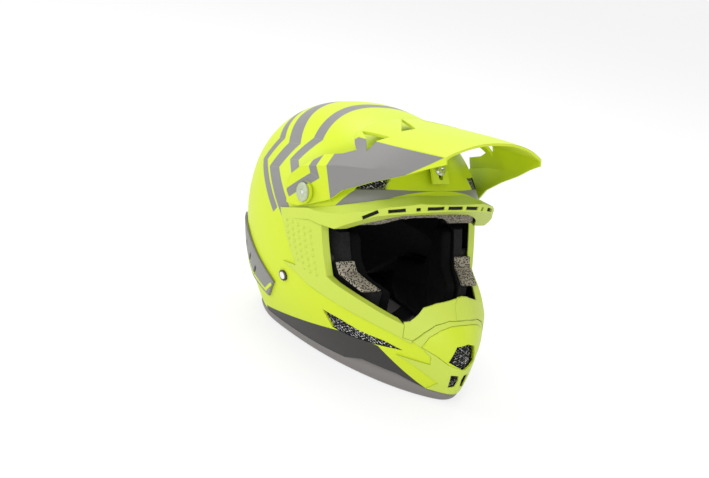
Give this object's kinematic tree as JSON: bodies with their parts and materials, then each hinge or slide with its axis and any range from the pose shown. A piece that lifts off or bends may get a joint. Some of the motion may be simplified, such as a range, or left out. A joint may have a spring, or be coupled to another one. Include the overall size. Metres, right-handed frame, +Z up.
{
  "type": "motocross helmet",
  "caption": "Full-face off-road helmet with a tilting peak, wide eyeport with trim, vented chin bar, padded lining and a buckled chin strap.",
  "frame": {"origin": "on the plane that the rim stands on, below the middle of the head, which is the middle of the neck opening", "axes": "+Z up through the crown, -Y the way the face looks, +X the wearer's left"},
  "size_m": [0.2578, 0.3681, 0.2931],
  "materials": {
    "rim": "satin dark grey moulding",
    "pad": "brushed black lining over foam",
    "grille": "black wire mesh",
    "foam": "moulded expanded foam, black",
    "mesh": "coarse grey-tan spacer mesh",
    "rubber": "soft black rubber",
    "cover": "matte moulded cover",
    "web": "woven black webbing",
    "steel": "bright steel",
    "trim": "soft matte moulding, muted lime",
    "shell": "matte fluorescent yellow-green paint on a composite shell",
    "peak": "matte moulded peak",
    "screw": "translucent white plastic",
    "tab": "dark red webbing",
    "panel": "matte grey cover",
    "cap": "white plastic"
  },
  "bodies": {
    "helmet": {"base_trim": "rim", "brow_pad": "pad", "brow_vent_grille_left": "grille", "brow_vent_grille_right": "grille", "cheek_liner_left": "foam", "cheek_liner_right": "foam", "cheek_mesh_left": "mesh", "cheek_mesh_right": "mesh", "cheek_pad_left": "pad", "cheek_pad_right": "pad", "cheek_snaps": "rubber", "chin_bar_liner": "foam", "chin_shield": "cover", "chin_vent_grille": "grille", "crown_pad": "pad", "eyeport_trim": "trim", "inner_liner": "foam", "liner_dampers": "rubber", "lower_vent_grilles": "grille", "mouth_piece": "trim", "neck_roll": "pad", "nose_guard": "trim", "outer_liner": "foam", "outer_shell": "shell", "peak_boss": "cover", "peak_insert_centre": "steel", "peak_insert_left": "steel", "peak_insert_right": "steel", "peak_spacer_left": "rubber", "peak_spacer_right": "rubber", "peak_washer": "steel", "pull_tab_left": "tab", "pull_tab_right": "tab", "rear_panel_left": "panel", "rear_panel_right": "panel", "rear_vent_grilles": "grille", "rivet_cap_left": "cap", "rivet_cap_right": "cap", "rivet_ring_left": "rubber", "rivet_ring_right": "rubber", "side_vent_grille_left": "grille", "side_vent_grille_right": "grille", "strap_rivet_left": "steel", "strap_rivet_right": "steel"},
    "peak": {"peak": "peak"},
    "strap": {"chin_strap_left": "web", "chin_strap_right": "web", "d_rings": "steel", "strap_pad": "pad", "strap_plate_left": "steel", "strap_plate_right": "steel"},
    "screw_right": {"peak_screw_right": "screw"},
    "screw_left": {"peak_screw_left": "screw"},
    "screw_centre": {"peak_screw_centre": "steel"}
  },
  "joints": [
    {"name": "peak_tilt", "type": "hinge", "parent": "helmet", "child": "peak", "pos_m": [0, -0.031, 0.185], "axis": [1, 0, 0], "range_deg": [-5, 5]},
    {"name": "strap_swing", "type": "hinge", "parent": "helmet", "child": "strap", "pos_m": [0, -0.013, 0.078], "axis": [1, 0, 0], "range_deg": [-20, 20]},
    {"name": "screw_right_turn", "type": "hinge", "parent": "helmet", "child": "screw_right", "pos_m": [-0.1236, -0.031, 0.185], "axis": [-1, 0, 0], "continuous": true},
    {"name": "screw_left_turn", "type": "hinge", "parent": "helmet", "child": "screw_left", "pos_m": [0.1236, -0.031, 0.185], "axis": [1, 0, 0], "continuous": true},
    {"name": "screw_centre_turn", "type": "hinge", "parent": "helmet", "child": "screw_centre", "pos_m": [0, -0.10309, 0.23547], "axis": [0, -0.8192, 0.5736], "continuous": true}
  ]
}
